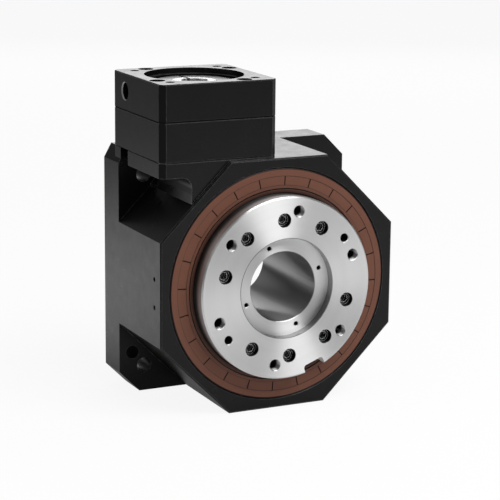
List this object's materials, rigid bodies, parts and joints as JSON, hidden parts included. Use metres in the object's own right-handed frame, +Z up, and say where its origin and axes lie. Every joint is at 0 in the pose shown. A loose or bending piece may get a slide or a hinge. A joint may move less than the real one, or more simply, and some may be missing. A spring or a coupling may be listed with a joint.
{
  "type": "hollow rotary platform",
  "caption": "Right-angle hollow rotary platform: octagonal black housing with ears, steel output flange with a through bore, brown face seal and a square upright motor input.",
  "frame": {"origin": "on the output axis, in the plane of the housing's octagonal front face, at the middle of the through bore", "axes": "+Y along the output axis from the front (output flange) to the rear (mounting face), +Z up along the input axis towards the motor, +X to the right as seen from the front"},
  "size_m": [0.18, 0.117, 0.2348],
  "materials": {
    "black_anodised": "satin black anodised over a fine machined surface, bright where edges have rubbed",
    "turned_steel": "face-turned, fine concentric tool marks",
    "shaft_steel": "bored and ground, satin",
    "bearing_steel": "ground and polished",
    "gear_steel": "machined, lightly oiled",
    "screw_black": "black oxide",
    "seal_brown": "matt moulded fluoro rubber"
  },
  "bodies": {
    "housing": {"housing": "black_anodised", "input_housing": "black_anodised", "input_housing_screws": "screw_black", "motor_adapter": "black_anodised", "adapter_screws": "screw_black", "output_seal": "seal_brown", "bearing_retainer": "gear_steel", "bearing_outer_ring": "bearing_steel", "rear_bearing_outer": "bearing_steel", "rear_cover": "black_anodised", "rear_cover_screws": "screw_black", "rear_seal": "seal_brown", "bearing_circlip": "gear_steel", "input_seal": "seal_brown", "outer_spacer": "gear_steel", "upper_bearing_outer": "bearing_steel", "lower_bearing_outer": "bearing_steel"},
    "output": {"output_flange": "turned_steel", "flange_screws": "screw_black", "hollow_shaft": "shaft_steel", "bearing_inner_ring": "bearing_steel", "gear_carrier": "gear_steel", "ring_gear": "gear_steel", "gear_screws": "screw_black", "rear_bearing_inner": "bearing_steel"},
    "input": {"input_shaft": "shaft_steel", "hypoid_pinion": "gear_steel", "clamp_collar": "shaft_steel", "clamp_screw": "screw_black", "lock_nut": "gear_steel", "inner_spacer": "gear_steel", "upper_bearing_inner": "bearing_steel", "lower_bearing_inner": "bearing_steel"},
    "roller_set": {"crossed_rollers": "bearing_steel"},
    "rear_ball_set": {"rear_bearing_balls": "bearing_steel"},
    "input_ball_set": {"upper_bearing_balls": "bearing_steel", "lower_bearing_balls": "bearing_steel"}
  },
  "joints": [
    {"name": "output_turn", "type": "hinge", "parent": "housing", "child": "output", "pos_m": [0, 0, 0], "axis": [0, 1, 0], "continuous": true},
    {"name": "input_turn", "type": "hinge", "parent": "housing", "child": "input", "pos_m": [-0.0445, 0.047, 0], "axis": [0, 0, 1], "continuous": true},
    {"name": "roller_orbit", "type": "hinge", "parent": "housing", "child": "roller_set", "pos_m": [0, 0, 0], "axis": [0, 1, 0], "continuous": true},
    {"name": "rear_ball_orbit", "type": "hinge", "parent": "housing", "child": "rear_ball_set", "pos_m": [0, 0, 0], "axis": [0, 1, 0], "continuous": true},
    {"name": "input_ball_orbit", "type": "hinge", "parent": "housing", "child": "input_ball_set", "pos_m": [-0.0445, 0.047, 0], "axis": [0, 0, 1], "continuous": true}
  ],
  "couplings": [
    {"joint": "input_turn", "follows": "output_turn", "ratio": 12},
    {"joint": "roller_orbit", "follows": "output_turn", "ratio": 0.47889},
    {"joint": "rear_ball_orbit", "follows": "output_turn", "ratio": 0.46377},
    {"joint": "input_ball_orbit", "follows": "output_turn", "ratio": 5.2208}
  ]
}
